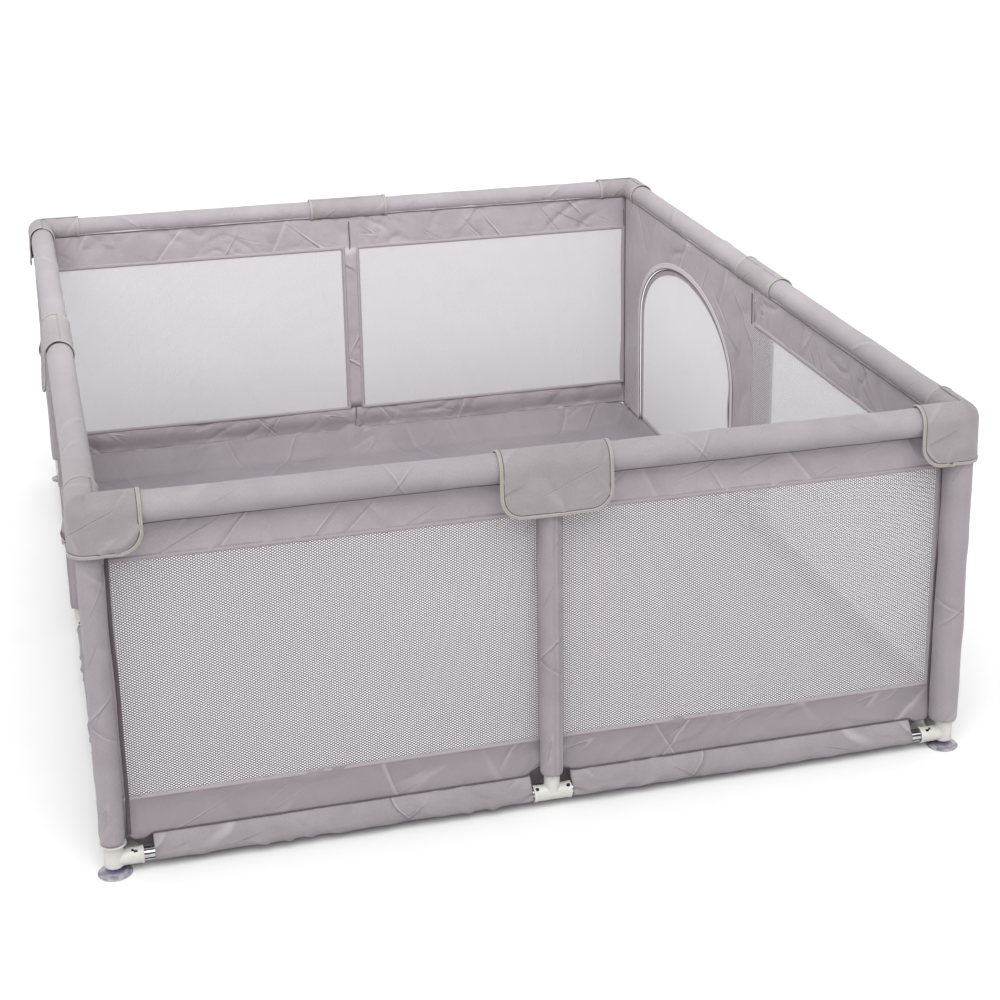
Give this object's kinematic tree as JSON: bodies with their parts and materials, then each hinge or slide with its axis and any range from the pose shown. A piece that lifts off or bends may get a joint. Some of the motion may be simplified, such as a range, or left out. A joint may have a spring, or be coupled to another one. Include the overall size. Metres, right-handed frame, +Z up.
{
  "type": "playpen",
  "caption": "Rectangular fabric playpen with padded tube frame, mesh walls, cloth floor, rail covers, suction-cup feet and a zipped arch door.",
  "frame": {"origin": "on the ground under the middle of the pen", "axes": "+X along the front wall to its right end, +Y from the front wall to the back wall, +Z up"},
  "size_m": [1.514, 1.864, 0.654],
  "materials": {
    "wall_cloth": "matt woven polyester, warm lilac grey",
    "cover_cloth": "matt woven polyester, warm grey",
    "floor_cloth": "matt coated woven polyester, lilac grey",
    "door_mesh": "fine knitted polyester net, pale lilac",
    "steel_tube": "bright plated steel tube",
    "connector": "satin moulded plastic, off white",
    "suction_cup": "clear soft plastic, faint violet",
    "spring_clip": "dark spring steel",
    "zip_plastic": "moulded plastic, grey"
  },
  "bodies": {
    "root": {"front_wall": "wall_cloth", "front_mid_post": "steel_tube", "front_tee": "connector", "front_rail_tube_a": "steel_tube", "front_rail_tube_b": "steel_tube", "front_base_tube_a": "steel_tube", "front_base_tube_b": "steel_tube", "right_wall": "wall_cloth", "right_mid_post": "steel_tube", "right_tee": "connector", "right_rail_tube_a": "steel_tube", "right_rail_tube_b": "steel_tube", "right_base_tube_a": "steel_tube", "right_base_tube_b": "steel_tube", "back_wall": "wall_cloth", "back_mid_post": "steel_tube", "back_tee": "connector", "back_rail_tube_a": "steel_tube", "back_rail_tube_b": "steel_tube", "back_base_tube_a": "steel_tube", "back_base_tube_b": "steel_tube", "left_wall": "wall_cloth", "left_mid_post": "steel_tube", "left_tee": "connector", "left_rail_tube_a": "steel_tube", "left_rail_tube_b": "steel_tube", "left_base_tube_a": "steel_tube", "left_base_tube_b": "steel_tube", "front_left_post": "steel_tube", "front_left_elbow": "connector", "front_right_post": "steel_tube", "front_right_elbow": "connector", "back_right_post": "steel_tube", "back_right_elbow": "connector", "back_left_post": "steel_tube", "back_left_elbow": "connector", "floor_sheet": "floor_cloth"},
    "front_button_clip": {"front_button_clip": "spring_clip"},
    "front_rail_cover": {"front_rail_cover": "cover_cloth"},
    "right_button_clip": {"right_button_clip": "spring_clip"},
    "right_rail_cover": {"right_rail_cover": "cover_cloth"},
    "back_button_clip": {"back_button_clip": "spring_clip"},
    "back_rail_cover": {"back_rail_cover": "cover_cloth"},
    "left_button_clip": {"left_button_clip": "spring_clip"},
    "left_rail_cover": {"left_rail_cover": "cover_cloth"},
    "front_left_button_clip": {"front_left_button_clip": "spring_clip"},
    "front_left_suction_cup": {"front_left_suction_cup": "suction_cup"},
    "front_left_cover": {"front_left_cover": "cover_cloth"},
    "front_right_button_clip": {"front_right_button_clip": "spring_clip"},
    "front_right_suction_cup": {"front_right_suction_cup": "suction_cup"},
    "front_right_cover": {"front_right_cover": "cover_cloth"},
    "back_right_button_clip": {"back_right_button_clip": "spring_clip"},
    "back_right_suction_cup": {"back_right_suction_cup": "suction_cup"},
    "back_right_cover": {"back_right_cover": "cover_cloth"},
    "back_left_button_clip": {"back_left_button_clip": "spring_clip"},
    "back_left_suction_cup": {"back_left_suction_cup": "suction_cup"},
    "back_left_cover": {"back_left_cover": "cover_cloth"},
    "door": {"door_panel": "door_mesh"},
    "zip_slider": {"zip_slider": "zip_plastic"},
    "zip_pull": {"zip_pull": "zip_plastic"}
  },
  "joints": [
    {"name": "front_cover_lift", "type": "hinge", "parent": "root", "child": "front_rail_cover", "pos_m": [0, -0.9, 0.622], "axis": [-1, 0, 0], "range_deg": [0, 100]},
    {"name": "front_button_press", "type": "slide", "parent": "root", "child": "front_button_clip", "axis": [0, 0.5, -0.866], "range_m": [0, 0.004], "stiffness_N_per_m": 400, "springref_m": -0.001},
    {"name": "right_cover_lift", "type": "hinge", "parent": "root", "child": "right_rail_cover", "pos_m": [0.725, 0, 0.622], "axis": [0, -1, 0], "range_deg": [0, 100]},
    {"name": "right_button_press", "type": "slide", "parent": "root", "child": "right_button_clip", "axis": [-0.5, 0, -0.866], "range_m": [0, 0.004], "stiffness_N_per_m": 400, "springref_m": -0.001},
    {"name": "back_cover_lift", "type": "hinge", "parent": "root", "child": "back_rail_cover", "pos_m": [0, 0.9, 0.622], "axis": [1, 0, 0], "range_deg": [0, 100]},
    {"name": "back_button_press", "type": "slide", "parent": "root", "child": "back_button_clip", "axis": [0, -0.5, -0.866], "range_m": [0, 0.004], "stiffness_N_per_m": 400, "springref_m": -0.001},
    {"name": "left_cover_lift", "type": "hinge", "parent": "root", "child": "left_rail_cover", "pos_m": [-0.725, 0, 0.622], "axis": [0, 1, 0], "range_deg": [0, 100]},
    {"name": "left_button_press", "type": "slide", "parent": "root", "child": "left_button_clip", "axis": [0.5, 0, -0.866], "range_m": [0, 0.004], "stiffness_N_per_m": 400, "springref_m": -0.001},
    {"name": "front_left_cover_lift", "type": "hinge", "parent": "root", "child": "front_left_cover", "pos_m": [-0.681, -0.856, 0.654], "axis": [-0.7071, 0.7071, 0], "range_deg": [0, 50]},
    {"name": "front_left_button_press", "type": "slide", "parent": "root", "child": "front_left_button_clip", "axis": [0.3536, 0.3536, -0.866], "range_m": [0, 0.004], "stiffness_N_per_m": 400, "springref_m": -0.001},
    {"name": "front_left_cup_turn", "type": "hinge", "parent": "root", "child": "front_left_suction_cup", "pos_m": [-0.725, -0.9, 0], "axis": [0, 0, 1], "continuous": true},
    {"name": "front_right_cover_lift", "type": "hinge", "parent": "root", "child": "front_right_cover", "pos_m": [0.681, -0.856, 0.654], "axis": [-0.7071, -0.7071, 0], "range_deg": [0, 50]},
    {"name": "front_right_button_press", "type": "slide", "parent": "root", "child": "front_right_button_clip", "axis": [-0.3536, 0.3536, -0.866], "range_m": [0, 0.004], "stiffness_N_per_m": 400, "springref_m": -0.001},
    {"name": "front_right_cup_turn", "type": "hinge", "parent": "root", "child": "front_right_suction_cup", "pos_m": [0.725, -0.9, 0], "axis": [0, 0, 1], "continuous": true},
    {"name": "back_right_cover_lift", "type": "hinge", "parent": "root", "child": "back_right_cover", "pos_m": [0.681, 0.856, 0.654], "axis": [0.7071, -0.7071, 0], "range_deg": [0, 50]},
    {"name": "back_right_button_press", "type": "slide", "parent": "root", "child": "back_right_button_clip", "axis": [-0.3536, -0.3536, -0.866], "range_m": [0, 0.004], "stiffness_N_per_m": 400, "springref_m": -0.001},
    {"name": "back_right_cup_turn", "type": "hinge", "parent": "root", "child": "back_right_suction_cup", "pos_m": [0.725, 0.9, 0], "axis": [0, 0, 1], "continuous": true},
    {"name": "back_left_cover_lift", "type": "hinge", "parent": "root", "child": "back_left_cover", "pos_m": [-0.681, 0.856, 0.654], "axis": [0.7071, 0.7071, 0], "range_deg": [0, 50]},
    {"name": "back_left_button_press", "type": "slide", "parent": "root", "child": "back_left_button_clip", "axis": [0.3536, -0.3536, -0.866], "range_m": [0, 0.004], "stiffness_N_per_m": 400, "springref_m": -0.001},
    {"name": "back_left_cup_turn", "type": "hinge", "parent": "root", "child": "back_left_suction_cup", "pos_m": [-0.725, 0.9, 0], "axis": [0, 0, 1], "continuous": true},
    {"name": "door_hinge", "type": "hinge", "parent": "root", "child": "door", "pos_m": [0.7064, 0.437, 0.059], "axis": [0, 1, 0], "range_deg": [0, 90]},
    {"name": "zip_slide", "type": "slide", "parent": "root", "child": "zip_slider", "axis": [0, 0, 1], "range_m": [0, 0.25]},
    {"name": "zip_pull_swing", "type": "hinge", "parent": "zip_slider", "child": "zip_pull", "pos_m": [0.6941, 0.114, 0.073], "axis": [0, 1, 0], "range_deg": [0, 150]}
  ]
}
